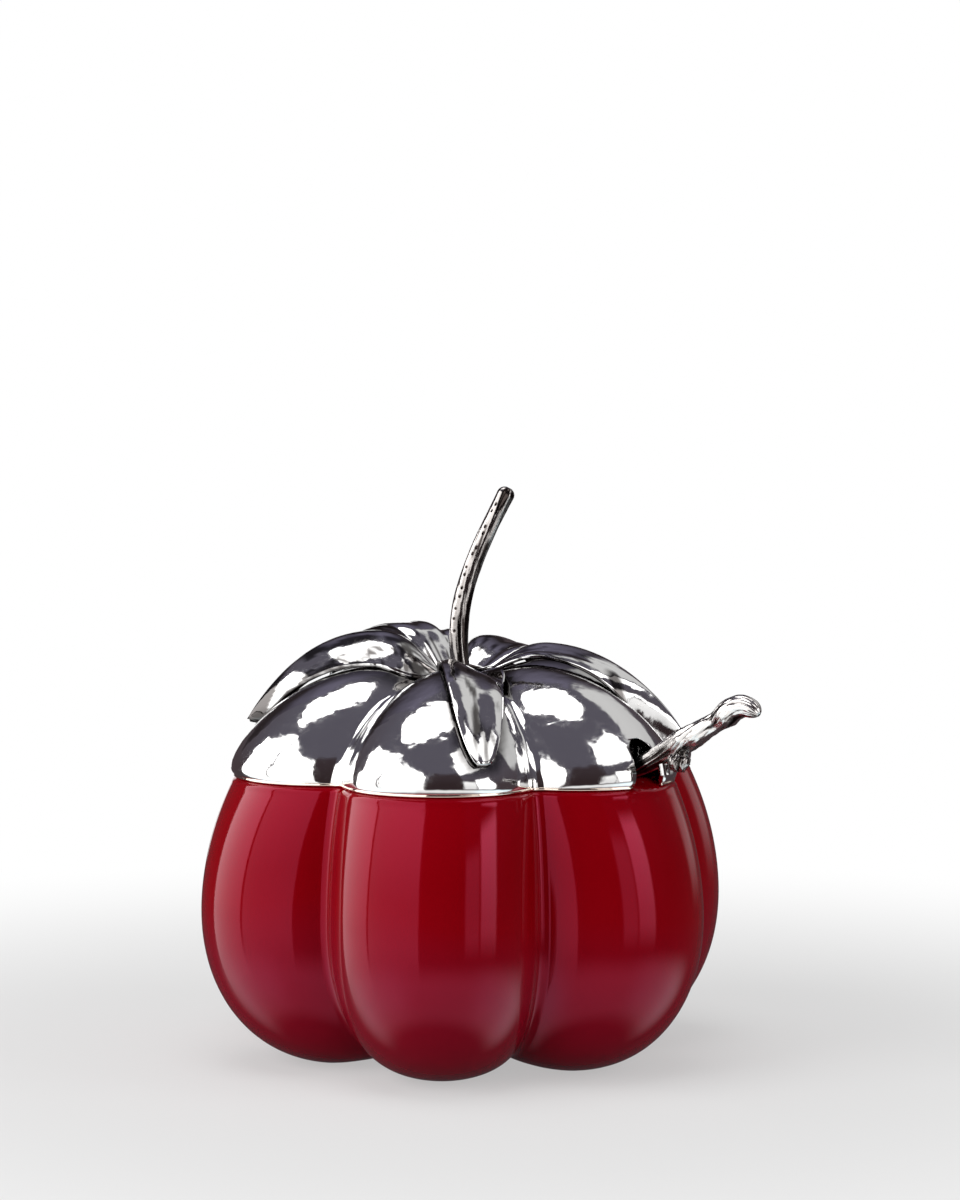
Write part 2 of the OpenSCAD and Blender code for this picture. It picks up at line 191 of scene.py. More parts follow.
def lobe_bearing(u, shape):
    """Bearing from the nearest lobe's crest for u from 0 to 1 over one lobe, hollow to hollow.

    The hollows get a third of the steps, because they are tight.
    """
    meet = lobe_parts(*shape)[2]
    edge = 0.17
    if u < edge:
        return -HALF + (HALF - meet) * u / edge
    if u > 1 - edge:
        return HALF - (HALF - meet) * (1 - u) / edge
    return meet * (2 * (u - edge) / (1 - 2 * edge) - 1)


def lobe_radius(w, shape):
    """Radius of the outline at bearing w from a lobe's crest."""
    r, a, f = shape
    c, fr, meet = lobe_parts(*shape)
    w = abs(w)
    if w <= meet:
        t = math.radians(w)
        return c * math.cos(t) + math.sqrt(max(0, a * a - (c * math.sin(t)) ** 2))
    t = math.radians(HALF - w)
    return fr * math.cos(t) - math.sqrt(max(0, f * f - (fr * math.sin(t)) ** 2))


def dip_radius(shape):
    """Radius of the outline at the bottom of a hollow."""
    return lobe_radius(HALF, shape)


def hollow_share(w, shape):
    """How far the outline at bearing w is towards a hollow: 0 on a crest and 1 in a hollow."""
    return (shape[0] - lobe_radius(w, shape)) / (shape[0] - dip_radius(shape))


def ring_point(u, turn, row):
    """A point of a lobed ring. A row is (shape, crest, dip), with crest and dip as (r, z)."""
    shape, crest, dip = row
    n = math.floor(u * LOBES + 1e-9)
    w = lobe_bearing(u * LOBES - n, shape)
    q = crest + (dip - crest) * hollow_share(w, shape)
    return at(q.x, turn + n * 2 * HALF + w, q.y)


def level_row(r, a, f, z):
    """A level lobed ring."""
    shape = (r, a, f)
    return shape, Vector((r, z)), Vector((dip_radius(shape), z))


def new_piece(name, bm, material, body, replaced):
    mesh = bpy.data.meshes.new(name)
    bm.to_mesh(mesh)
    bm.free()
    mesh.shade_smooth()
    piece = bpy.data.objects.new(name, mesh)
    bpy.context.scene.collection.objects.link(piece)
    mesh.materials.append(material)
    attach(piece, body)
    if replaced:
        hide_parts(replaced)
    return piece


def smooth_copy(node, body):
    """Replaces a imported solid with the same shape, joined and smooth between its corners."""
    corner = math.radians(35)
    bm = bmesh.new()
    bm.from_mesh(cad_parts[node].data)
    bmesh.ops.remove_doubles(bm, verts=bm.verts, dist=1e-6)
    for edge in bm.edges:
        edge.smooth = edge.is_manifold and edge.calc_face_angle() < corner
    return new_piece(node + "_plate", bm, finish_of("silver_plate"), body, node)


def woven_grid(across, along, place):
    """A grid bent into shape, with its seams and poles merged.

    place(i, j) gives the point of column i and row j.
    """
    bm = bmesh.new()
    bmesh.ops.create_grid(bm, x_segments=across, y_segments=along, size=0.5)
    for v in bm.verts:
        v.co = place(round((v.co.x + 0.5) * across), round((v.co.y + 0.5) * along))
    bmesh.ops.remove_doubles(bm, verts=bm.verts, dist=1e-7)
    bmesh.ops.dissolve_degenerate(bm, edges=bm.edges, dist=1e-8)
    bmesh.ops.recalc_face_normals(bm, faces=bm.faces)
    return bm


def lobed_skin(turn, rows, first, last, columns):
    """A closed skin over lobed rows, with the axis points first and last at its ends."""
    points = [None, *rows, None]

    def place(i, j):
        if j == 0:
            return Vector((0, 0, first * MM))
        if j == len(points) - 1:
            return Vector((0, 0, last * MM))
        return ring_point(i / columns % 1, turn, points[j])

    return woven_grid(columns, len(points) - 1, place)


# Materials


def add_node(tree, kind, inputs=None, **settings):
    """Adds a node with its settings. Inputs are values, or sockets to link from."""
    made = tree.nodes.new(kind)
    for key, value in settings.items():
        setattr(made, key, value)
    for key, value in (inputs or {}).items():
        if isinstance(value, bpy.types.NodeSocket):
            tree.links.new(value, made.inputs[key])
        else:
            made.inputs[key].default_value = value
    return made


def new_material(name):
    """A material with an empty node tree. Returns it, its tree and the place on the object."""
    material = bpy.data.materials.new(name)
    material.use_nodes = True
    tree = material.node_tree
    tree.nodes.clear()
    return material, tree, add_node(tree, "ShaderNodeTexCoord").outputs["Object"]


def put_out(tree, shader):
    """Links a shader node to the material's output."""
    add_node(tree, "ShaderNodeOutputMaterial", {"Surface": shader.outputs[0]})


def four(rgb):
    """A colour with full opacity."""
    return (*rgb, 1)


def ramp(tree, value, stops):
    """A colour ramp over a value, with stops of (place, colour)."""
    made = add_node(tree, "ShaderNodeValToRGB", {"Fac": value})
    band = made.color_ramp
    while len(band.elements) < len(stops):
        band.elements.new(1)
    for element, (place, rgb) in zip(band.elements, stops):
        element.position = place
        element.color = four(rgb)
    return made.outputs["Color"]


def spots(tree, place, scale, detail, roughness):
    """Noise over the object, with a scale in spots per metre."""
    inputs = {"Vector": place, "Scale": scale, "Detail": detail, "Roughness": roughness}
    return add_node(tree, "ShaderNodeTexNoise", inputs).outputs["Fac"]


def relief(tree, height, strength, distance):
    """A normal that shows a height as bumps. The distance is in metres."""
    inputs = {"Height": height, "Strength": strength, "Distance": distance}
    return add_node(tree, "ShaderNodeBump", inputs).outputs["Normal"]


def between(tree, value, start, end, low=0, high=1, **settings):
    """Takes a value from start to end over to a result from low to high."""
    inputs = {"Value": value, "From Min": start, "From Max": end, "To Min": low, "To Max": high}
    return add_node(tree, "ShaderNodeMapRange", inputs, **settings).outputs[0]


def calculate(tree, operation, *values):
    """The result of a math node."""
    return add_node(tree, "ShaderNodeMath", dict(enumerate(values)), operation=operation).outputs[0]


def height_of(tree, place):
    """Height above the table, in metres."""
    return add_node(tree, "ShaderNodeSeparateXYZ", {"Vector": place}).outputs["Z"]


def attribute(tree, name):
    """A value that the mesh carries."""
    return add_node(tree, "ShaderNodeAttribute", attribute_name=name).outputs["Fac"]


def red_glaze():
    """Glazed ceramic: deep red glaze fired to a glass-like skin.

    It is smooth enough to mirror the lamps, with slow waves in the glaze that soften their edges,
    and the colour turns to crimson low on the pot: painted reflection of the floor's glow, which
    the glaze would mirror there, laid over clouds in the glaze's tone.
    """
    # Heights, in metres, over which the painted reflection of the floor's glow fades out up the pot
    glow_from, glow_to = 0.02, 0.046
    material, tree, place = new_material("red_glaze")
    c = colours()
    cloud = spots(tree, place, scale=18, detail=1, roughness=0.4)
    rise = between(tree, height_of(tree, place), glow_from, glow_to, 0, 0.65)
    # Place on the colour ramp: random clouds in the glaze's tone, plus the painted reflection of the
    # floor's glow low on the pot
    thin = calculate(tree, "MULTIPLY_ADD", cloud, 0.6, rise)
    waves = spots(tree, place, scale=60, detail=1, roughness=0.4)
    shader = add_node(
        tree,
        "ShaderNodeBsdfPrincipled",
        {
            "Base Color": ramp(tree, thin, [(0.35, c.glaze_floor_glow), (0.75, c.glaze_deep), (1, c.glaze)]),
            "Roughness": 0.07,
            "IOR": 1.54,
            "Specular Tint": four(c.glaze_mirror),
            "Normal": relief(tree, waves, strength=0.1, distance=0.001),
        },
    )
    put_out(tree, shader)
    return material


def silver_plate(name, bare, dents, flats):
    """Silver plate on brass, planished with a polished hammer and buffed.

    The mirror shows soft flats a few millimetres wide, which break up the edges of reflections,
    and fine haze from buffing. It is dark where its attribute of tarnishing and shade is near 1:
    tarnished clouds on the leaves, and painted shade on the leaves' undersides and on the dome
    round them. bare is the clean plate's colour, dents how strong the flats are and flats how many
    go to a metre.
    """
    material, tree, place = new_material(name)
    hammered = spots(tree, place, scale=flats, detail=2.5, roughness=0.5)
    buffed = spots(tree, place, scale=900, detail=2, roughness=0.5)
    height = calculate(tree, "MULTIPLY_ADD", buffed, 0.02, hammered)
    shader = add_node(
        tree,
        "ShaderNodeBsdfPrincipled",
        {
            # Painted shade under and round the leaves, and tarnished clouds on them, darken the plate
            "Base Color": ramp(tree, attribute(tree, "tarnish_and_shade"), [(0, bare), (1, colours().tarnish_and_shade)]),
            "Metallic": 1.0,
            "Roughness": between(tree, buffed, 0.3, 0.7, 0.04, 0.12),
            "Normal": relief(tree, height, strength=dents, distance=0.0006),
        },
    )
    put_out(tree, shader)
    return material


def bark_silver(name, bare, dark, bright, roughness):
    """Cast silver plate with a bark texture, darkened with sulphur and rubbed back.

    The ridges are bright and the furrows and pits stay nearly black, and on a twig with painted light
    the colour also carries that painted light and shade. dark and bright are the heights of the
    relief, from 0 to 1, below which it is tarnished and above which it is bare.
    """
    material, tree, place = new_material(name)
    grain = spots(tree, place, scale=1400, detail=3, roughness=0.6)
    # The attribute holds the bark's relief, with painted light and shade added on the stem
    height = calculate(tree, "MULTIPLY_ADD", grain, 0.25, attribute(tree, "furrow"))
    shader = add_node(
        tree,
        "ShaderNodeBsdfPrincipled",
        {
            "Base Color": ramp(tree, height, [(dark, colours().tarnish_and_shade), (bright, bare)]),
            "Metallic": 1.0,
            "Roughness": roughness,
            "Normal": relief(tree, grain, strength=0.25, distance=0.0002),
        },
    )
    put_out(tree, shader)
    return material


@lru_cache(maxsize=None)
def finish_of(name):
    """A material by its name, made once."""
    c = colours()
    makers = {
        "red_glaze": red_glaze,
        "silver_plate": lambda: silver_plate(name, c.silver, dents=0.7, flats=110),
        "leaf_silver": lambda: silver_plate(name, c.silver, dents=1.1, flats=85),
        "edge_silver": lambda: silver_plate(name, c.worn, dents=0.7, flats=110),
        "stem_silver": lambda: bark_silver(name, c.dull, dark=0.36, bright=0.72, roughness=0.17),
        "handle_silver": lambda: bark_silver(name, c.rubbed, dark=0.36, bright=0.56, roughness=0.2),
    }
    return makers[name]()


# Pieces

TURN = -9.3
SPOON_TURN = 48
# How much smaller a lobe's radius is at the shoulder than at the belly
LOBE_DRAW = 0.6


def pot_rows():
    """The pot's rings, from the ground disc up the outside, over the lip and down the inside."""
    s = sizes()
    belly = (s.belly_r, s.lobe_r, s.groove_r)
    inner = (s.belly_r - s.pot_wall, s.lobe_r - s.pot_wall, s.groove_r + s.pot_wall)
    shoulder_a = s.lobe_r - LOBE_DRAW
    dip_foot = Vector((22, 3))
    disc_edge = 1.6
    low_power = 2 / 2.1
    high_power = 1.88
    low_steps, high_steps, inner_steps = 40, 30, 14
    lip_steps, mouth_steps = 10, 8

    def lower(start, end, t):
        q = math.pi / 2 * t
        out = end[0] + (start[0] - end[0]) * max(0, math.cos(q)) ** low_power
        return Vector((out, max(0, start[1] + (end[1] - start[1]) * math.sin(q) ** low_power)))

    def upper(t, inset, z):
        r = math.sqrt(s.belly_r**2 - (s.belly_r**2 - s.shoulder_r**2) * t**high_power) - inset
        return level_row(r, s.lobe_r - LOBE_DRAW * t * t - inset, s.groove_r + inset, z)

    def lip(p):
        return level_row(s.shoulder_r - p.x, shoulder_a - p.x, s.groove_r + p.x, s.shoulder_z + p.y)

    rise = s.shoulder_z - s.belly_z
    lip_out = vectors((0, 0), (0.1, 1.35), (2.2, 1.7), (4.4, s.mouth_rise))
    lip_in = vectors((4.4, s.mouth_rise), (5.6, s.mouth_rise + 0.5), (6.2, 1.6), (6.1, -1))
    rows = [
        (belly, Vector((s.disc_r, 0)), Vector((s.disc_r, 0))),
        (belly, Vector((s.disc_r, disc_edge)), Vector((s.disc_r, dip_foot.y))),
    ]
    rows += [
        (belly, Vector((s.foot_r * t, dip_foot.y * (1 - t))), Vector((dip_foot.x * t, dip_foot.y)))
        for t in (0.7, 0.85)
    ]
    rows += [
        (
            belly,
            lower((s.belly_r, s.belly_z), (s.foot_r, -0.3), i / low_steps),
            lower((dip_radius(belly), s.belly_z), dip_foot, i / low_steps),
        )
        for i in range(low_steps, 0, -1)
    ]
    rows += [upper(i / high_steps, 0, s.belly_z + rise * i / high_steps) for i in range(high_steps)]
    rows += [lip(curve(lip_out, i / lip_steps)) for i in range(lip_steps + 1)]
    rows += [lip(curve(lip_in, i / mouth_steps)) for i in range(1, mouth_steps + 1)]
    rows += [upper(t, s.pot_wall, s.belly_z + rise * t) for t in (0.9, 0.75, 0.6, 0.4, 0.2)]
    rows += [
        (
            inner,
            lower((s.belly_r - s.pot_wall, s.belly_z), (s.foot_r + 3, s.floor_z), i / inner_steps),
            lower((dip_radius(inner), s.belly_z), (s.foot_r - 6, s.floor_z + 0.2), i / inner_steps),
        )
        for i in range(inner_steps + 1)
    ]
    return rows


class JAMPOT_OT_pot(bpy.types.Operator):
    """Make the ribbed red pot"""

    bl_idname = "jampot.pot"
    bl_label = "Pot"

    def execute(self, context):
        bm = lobed_skin(TURN, pot_rows(), 0, sizes().floor_z, LOBES * 56)
        new_piece("pot_body", bm, finish_of("red_glaze"), "pot", "pot")
        return {"FINISHED"}


def lid_shapes():
    """The lid's outlines outside and inside, and the lines over a lobe and along a hollow."""
    s = sizes()
    edge_r = s.shoulder_r - s.lid_inset
    edge_a = s.lobe_r - LOBE_DRAW - s.lid_inset
    edge_f = s.groove_r + s.lid_inset
    outside = (edge_r, edge_a, edge_f)
    inside = (edge_r - s.sheet, edge_a - s.sheet, edge_f + s.sheet)
    dip = dip_radius(outside)
    low = s.shoulder_z + s.lid_gap
    top = s.shoulder_z + s.lid_gap + s.dome_rise
    well = top - s.well_drop
    r = s.ridge_r
    return {
        "outside": outside,
        "inside": inside,
        "crest_out": vectors((edge_r, low + 0.1), (edge_r + 5.2, low + 3.2), (r + 21, top + 0.2), (r, top)),
        "crest_well": vectors((r, top), (12, top), (7, well), (0, well)),
        "dip_out": vectors((dip, low + 0.1), (dip + 0.6, low + 4.3), (r + 13, top - 5.6), (r, top - 4.8)),
        "dip_well": vectors((r, top - 4.8), (12, top - 4), (6, well - 0.5), (0, well)),
        "edge_z": low,
        "well_z": well,
    }


def dome_row(lid, part, t, d):
    """A ring of the dome: part is out or well, t the place along it and d the depth into the sheet."""
    shape = lid["outside"] if d == 0 else lid["inside"]
    return shape, beside(lid["crest_" + part], t, d), beside(lid["dip_" + part], t, d)


def notch_mesh():
    """The space of the spoon's arched notch. Its sides spread a little towards the lid's edge."""
    s = sizes()
    half = s.notch_w / 2
    spread, below = 1.5, 3
    foot = half + spread
    inner, depth = 25, 45
    low = s.shoulder_z + s.lid_gap
    spring = low + s.notch_h - s.notch_w / 2
    steps = 24
    outline = [Vector((-foot, inner, low - below)), Vector((foot, inner, low - below))]
    for i in range(steps + 1):
        a = math.pi * i / steps
        outline.append(Vector((half * math.cos(a), inner, spring + half * math.sin(a))))
    bm = bmesh.new()
    face = bm.faces.new([bm.verts.new(p * MM) for p in outline])
    made = bmesh.ops.extrude_face_region(bm, geom=[face])
    moved = [v for v in made["geom"] if isinstance(v, bmesh.types.BMVert)]
    bmesh.ops.translate(bm, verts=moved, vec=(0, depth * MM, 0))
    bmesh.ops.transform(bm, matrix=Matrix.Rotation(math.radians(SPOON_TURN - 180), 4, "Z"), verts=bm.verts)
    bmesh.ops.recalc_face_normals(bm, faces=bm.faces)
    mesh = bpy.data.meshes.new("notch_cutter")
    bm.to_mesh(mesh)
    bm.free()
    return mesh


def cut_notch(piece):
    """Cuts the arched notch through a lid piece and leaves no modifier behind."""
    mesh = notch_mesh()
    cutter = bpy.data.objects.new("notch_cutter", mesh)
    bpy.context.scene.collection.objects.link(cutter)
    cut = piece.modifiers.new("notch", "BOOLEAN")
    cut.operation = "DIFFERENCE"
    cut.solver = "EXACT"
    cut.object = cutter
    made = bpy.data.meshes.new_from_object(piece.evaluated_get(bpy.context.evaluated_depsgraph_get()))
    piece.modifiers.clear()
    old = piece.data
    piece.data = made
    made.name = old.name
    bpy.data.meshes.remove(old)
    bpy.data.objects.remove(cutter)
    bpy.data.meshes.remove(mesh)


def bead_skin(lid):
    """The thin round bead along the dome's lower edge."""
    r, a, f = lid["outside"]
    bead_r, inset, lift = 0.35, 0.05, 0.04
    columns, sides = LOBES * 30, 12

    def place(i, j):
        q = math.radians(360 * j / sides)
        out = bead_r * math.cos(q) - inset
        row = level_row(r + out, a + out, f - out, lid["edge_z"] + lift + bead_r * math.sin(q))
        return ring_point(i / columns % 1, TURN, row)

    return woven_grid(columns, sides, place)


class JAMPOT_OT_lid(bpy.types.Operator):
    """Make the planished dome, its edge bead and its collar"""

    bl_idname = "jampot.lid"
    bl_label = "Lid"

    def execute(self, context):
        sheet = sizes().sheet
        lid = lid_shapes()
        steps, well_steps, inner_steps = 44, 14, 16
        rows = [dome_row(lid, "well", t, sheet) for t in (0.8, 0.6, 0.4, 0.2)]
        rows += [dome_row(lid, "out", i / inner_steps, sheet) for i in range(inner_steps, -1, -1)]
        rows += [dome_row(lid, "out", i / steps, 0) for i in range(steps)]
        rows += [dome_row(lid, "well", i / well_steps, 0) for i in range(well_steps)]
        bm = lobed_skin(TURN, rows, lid["well_z"] - sheet, lid["well_z"], LOBES * 48)
        dome = new_piece("dome", bm, finish_of("silver_plate"), "lid", "lid_dome")
        cut_notch(dome)
        # Painted shade on the dome round the leaves
        paint_leaf_shade(dome, lid)
        edge_silver = finish_of("edge_silver")
        bead = new_piece("edge_bead", bead_skin(lid), edge_silver, "lid", "lid_edge_bead")
        cut_notch(bead)
        smooth_copy("lid_collar", "lid")
        return {"FINISHED"}


class Leaf(NamedTuple):
    """A leaf's bearing, half width, form, tarnished clouds and the painted shade round it.

    waist is the share by which it is narrower at its ends, and tip how far it stops short of the
    lid's edge. lift is the height of its middle over the dome's crest line and bow how much more
    both edges rise. Seen from above, tilt is how much more its anticlockwise side rises, and crown
    how much more its clockwise side rises in the outer half. fold is the height of two long folds,
    sink how far its middle follows the hollows and point how blunt its tip is. reach is how far the
    painted shade spreads out over the dome from under it, clean how much of it stays bright and
    dull how much more it is tarnished towards its tip.
    """

    turn: float
    half: float
    waist: float
    tip: float
    lift: float
    tilt: float = 0
    bow: float = 0
    fold: float = 0
    crown: float = 0
    sink: float = 0.2
    point: float = 5
    reach: float = 7
    clean: float = 0.14
    dull: float = 0


LEAVES = {
    "leaf_front": Leaf(
        4.5, 7.4, waist=0.15, tip=0.26, lift=0.2, bow=0.9, fold=0.5, sink=1, point=4.5, reach=2.5
    ),
    "leaf_right": Leaf(84, 7.4, waist=0.45, tip=0.24, lift=3.0, tilt=0.4, bow=-1.1, fold=0.8, sink=0.35),
    "leaf_back_right": Leaf(150, 7.4, waist=0.45, tip=0.34, lift=2.5, bow=0.6, fold=0.8),
    "leaf_back_left": Leaf(220, 8.4, waist=0.45, tip=0.38, lift=6.8, tilt=-1.2, fold=0.6),
    "leaf_left": Leaf(
        272, 11.4, waist=0.5, tip=0.4, lift=5.2, tilt=-3.1, bow=-3.0, crown=2.1, clean=-0.08, dull=0.45
    ),
}
# Where a leaf starts on the way from the dome's middle to its ridge
LEAF_START = 0.32
LEAF_CLEAR = 0.25
LEAF_THICKNESS = 0.9
STEM_R = 2.25


def leaf_fold(x):
    """Height of a long fold over x, which runs from a leaf's middle at 0 to its edge at 1."""
    top = 0.62
    if x < top:
        return math.sin(math.pi / 2 * min(1, x / top)) ** 2
    return math.cos(math.pi / 2 * (x - top) / (1 - top))


def leaf_point(lid, leaf, s, across, top):
    """A point of a leaf: s runs from the stem to the tip and across from -1 to 1."""
    # u is 0 in the dome's middle, 1 on its ridge and 2 at its edge
    u = LEAF_START + s * (2 - leaf.tip - LEAF_START)
    part, t = ("well", 1 - u) if u < 1 else ("out", 2 - u)
    mid = curve(lid["crest_" + part], t)
    low = curve(lid["dip_" + part], t)
    h = heading(lid["crest_" + part], t)
    up = Vector((h.y, -h.x))
    full = 1 - leaf.waist + leaf.waist * math.sin(math.radians(200 * s**0.8))
    hw = leaf.half * full * math.sqrt(max(0, 1 - s**leaf.point))
    bearing = leaf.turn + math.degrees(math.atan(across * hw / max(mid.x, STEM_R)))
    w = (bearing - TURN + HALF) % (2 * HALF) - HALF
    share = hollow_share(w, lid["outside"])
    x = abs(across)
    q = mid + (low - mid) * share * (leaf.sink + (1 - leaf.sink) * x**1.5)
    swell = math.sin(math.pi * min(1, s * 1.02))
    crown_end = 0.92
    late = math.sin(math.pi * min(1, s / crown_end) ** 1.6) ** 2
    rise = LEAF_CLEAR + swell * (leaf.lift + leaf.tilt * across + leaf.bow * x * x)
    rise += leaf.fold * max(0, leaf_fold(x)) * (0.35 + 0.65 * swell)
    rise += leaf.crown * (1 - across) / 2 * late
    p = q + up * (rise + (LEAF_THICKNESS if top else 0))
    return at(math.hypot(p.x, across * hw), bearing, p.y)


def paint_leaf_shade(dome, lid):
    """Paints shade on the dome round the leaves, darkest close under their edges, as an attribute: painted
    shade.
    """
    strongest, start = 0.8, 0.8
    along, wide = 40, 16
    undersides = [
        (leaf_point(lid, leaf, i / along, 2 * j / wide - 1, False), leaf.reach)
        for leaf in LEAVES.values()
        for i in range(along)
        for j in range(wide + 1)
    ]
    tree = KDTree(len(undersides))
    for i, (point, _) in enumerate(undersides):
        tree.insert(point, i)
    tree.balance()
    marks = dome.data.attributes.new("tarnish_and_shade", "FLOAT", "POINT").data
    for mark, v in zip(marks, dome.data.vertices):
        _, i, distance = tree.find(v.co)
        # Painted shade: darkest next to a leaf, fading out over its reach
        mark.value = strongest * (1 - soft(distance / MM - start, undersides[i][1]))


def leaf_tarnish_and_shade(leaf, v):
    """How dark a leaf is at a vertex: wholly dark below, which is painted shade on its underside, and
    tarnished in clouds on top.
    """
    strongest, cloud_edge = 0.92, 0.3
    flat = Vector((v.co.x, v.co.y, 0))
    up_and_out = flat.normalized() * 0.6 + Vector((0, 0, 0.8))
    # Painted shade: the underside is painted fully dark
    if v.normal.dot(up_and_out) < -0.2:
        return 1
    bearing = math.degrees(math.atan2(v.co.x, -v.co.y))
    out = flat.length / MM
    cloud = noise.noise(Vector((bearing / 5, out / 9, leaf.turn)))
    cloud += 0.5 * noise.noise(Vector((bearing / 2, out / 4, leaf.turn)))
    cloud += leaf.dull * soft(out - 36, 16)
    return strongest * soft(cloud - leaf.clean, cloud_edge)


def leaf_skin(lid, leaf):
    """A leaf's closed skin, with its tarnished clouds and the painted shade on its underside as an
    attribute.
    """
    along, wide, end = 60, 24, 0.985

    def place(i, j):
        s = end * j / along
        k = i % (2 * wide)
        top = k <= wide
        across = 1 - 2 * k / wide if top else -1 + 2 * (k - wide) / wide
        return leaf_point(lid, leaf, s, across, top)

    bm = woven_grid(2 * wide, along, place)
    bmesh.ops.holes_fill(bm, edges=bm.edges, sides=0)
    bmesh.ops.recalc_face_normals(bm, faces=bm.faces)
    bm.normal_update()
    layer = bm.verts.layers.float.new("tarnish_and_shade")
    for v in bm.verts:
        v[layer] = leaf_tarnish_and_shade(leaf, v)
    return bm


class JAMPOT_OT_leaves(bpy.types.Operator):
    """Make the five folded leaves"""

    bl_idname = "jampot.leaves"
    bl_label = "Leaves"

    def execute(self, context):
        lid = lid_shapes()
        silver = finish_of("leaf_silver")
        for name, leaf in LEAVES.items():
            new_piece(name + "_plate", leaf_skin(lid, leaf), silver, "lid", name)
        return {"FINISHED"}


def plain(a, s):
    """No marks at all."""
    return 0


class Twig(NamedTuple):
    """A cast twig: its path, a list of curves with equal shares of it, its radius and its bark.

    lay turns a point of the path, its heading and an offset from it into a point of the object.
    steps is how many rings the twig has, depth the bark's relief as a share of the radius and wander
    how far the furrows wind round it. sink is the depth of marks in it, and the last field is painted
    light: how much brighter or darker a place is painted, standing in for light and shade, both from
    the angle round it and the share of the path.
    """

    path: list
    radius: Callable
    lay: Callable
    steps: int
    depth: float
    wander: float
    sink: Callable = plain
    painted_light: Callable = plain


def twig_point(twig, s, a, q):
    """A point at share s of a twig's path, at angle a round it and distance q from it."""
    part = min(len(twig.path) - 1, int(s * len(twig.path)))
    t = s * len(twig.path) - part
    c, h = curve(twig.path[part], t), heading(twig.path[part], t)
    return twig.lay(c, h, q * math.cos(a), q * math.sin(a))


def streak(a, s, turns, around, along, seed):
    """Noise drawn out along a twig: around and along are how many marks there are each way."""
    q = a + turns * s
    return noise.noise(Vector((math.cos(q) * around, math.sin(q) * around, s * along + seed)))


def bark(twig, a, s):
    """Relief of a twig's bark, from about -1 in the furrows to 1 on the ridges."""
    ribs = math.cos(3 * a + 3 * twig.wander * s)
    deep = streak(a, s, twig.wander, 1.5, 3, 0)
    fine = streak(a, s, twig.wander, 4.0, 7, 5)
    grain = streak(a, s, twig.wander, 8.0, 22, 9)
    return 0.3 * ribs + 1.1 * deep + 0.9 * fine + 0.4 * grain - twig.sink(a, s) / twig.depth


def add_twig(name, twig, body, replaced, finish):
    """Makes a twig. Its relief, with its painted light and shade added, is also written as an attribute for
    the material.
    """
    sides, steps = 96, twig.steps

    def place(i, j):
        s = min(1, max(0, (j - 1) / (steps - 2)))
        a = 2 * math.pi * (i % sides) / sides
        q = 0 if j in (0, steps) else twig.radius(s) * (1 + twig.depth * bark(twig, a, s))
        return twig_point(twig, s, a, q)

    bm = woven_grid(sides, steps, place)
    piece = new_piece(name, bm, finish_of(finish), body, replaced)
    heights = []
    tree = KDTree(sides * (steps - 1))
    for j in range(1, steps):
        s = (j - 1) / (steps - 2)
        for i in range(sides):
            a = 2 * math.pi * i / sides
            b = bark(twig, a, s)
            tree.insert(twig_point(twig, s, a, twig.radius(s) * (1 + twig.depth * b)), len(heights))
            # Painted light and shade are added to the relief for the colour
            heights.append(b + twig.painted_light(a, s))
    tree.balance()
    marks = piece.data.attributes.new("furrow", "FLOAT", "POINT").data
    for mark, v in zip(marks, piece.data.vertices):
        mark.value = 0.5 + 0.5 * heights[tree.find(v.co)[1]]


class JAMPOT_OT_stem(bpy.types.Operator):
    """Make the twig stem on the lid, its washer and its nut"""

    bl_idname = "jampot.stem"
    bl_label = "Stem"

    def execute(self, context):
        foot = lid_shapes()["well_z"] + 0.9
        top = 125.4
        path = [vectors((-0.8, foot), (-3.1, foot + 17), (2.5, foot + 26), (9.8, top))]
        pits = [
            (4.15 + 0.16 * math.sin(5 * k), 0.2 + 0.06 * k + 0.012 * math.sin(3 * k)) for k in range(13)
        ]

        def radius(s):
            end = math.sqrt(1 - 0.9 * max(0, (s - 0.965) / 0.035) ** 2)
            return STEM_R * (1 - 0.22 * s - 0.08 * (1 - s) ** 8 + 0.12 * s**10) * end

        def pit(a, s):
            return sum(math.exp(-(((a - p) / 0.13) ** 2) - ((s - q) / 0.006) ** 2) for p, q in pits)

        def sink(a, s):
            cleft = 0.3 * math.exp(-(((a - 4.6) / 0.3) ** 2)) * soft(s - 0.86, 0.14)
            return cleft + 0.12 * pit(a, s)

        # Painted light: the stem's front is painted brighter and its two sides darker, standing in for the
        # dark outlines that its reflections give
        def painted_light(a, s):
            away = abs((a - 4.3 + math.pi) % (2 * math.pi) - math.pi)
            return 0.3 - 1.0 * soft(away - 0.75, 0.5)

        def lay(c, h, x, y):
            return Vector((c.x + x * h.y, y, c.y - x * h.x)) * MM

        twig = Twig(path, radius, lay, 240, depth=0.035, wander=1.2, sink=sink, painted_light=painted_light)
        add_twig("stem_twig", twig, "lid", "stem", "stem_silver")
        smooth_copy("stem_washer", "lid")
        smooth_copy("stem_nut", "lid")
        return {"FINISHED"}


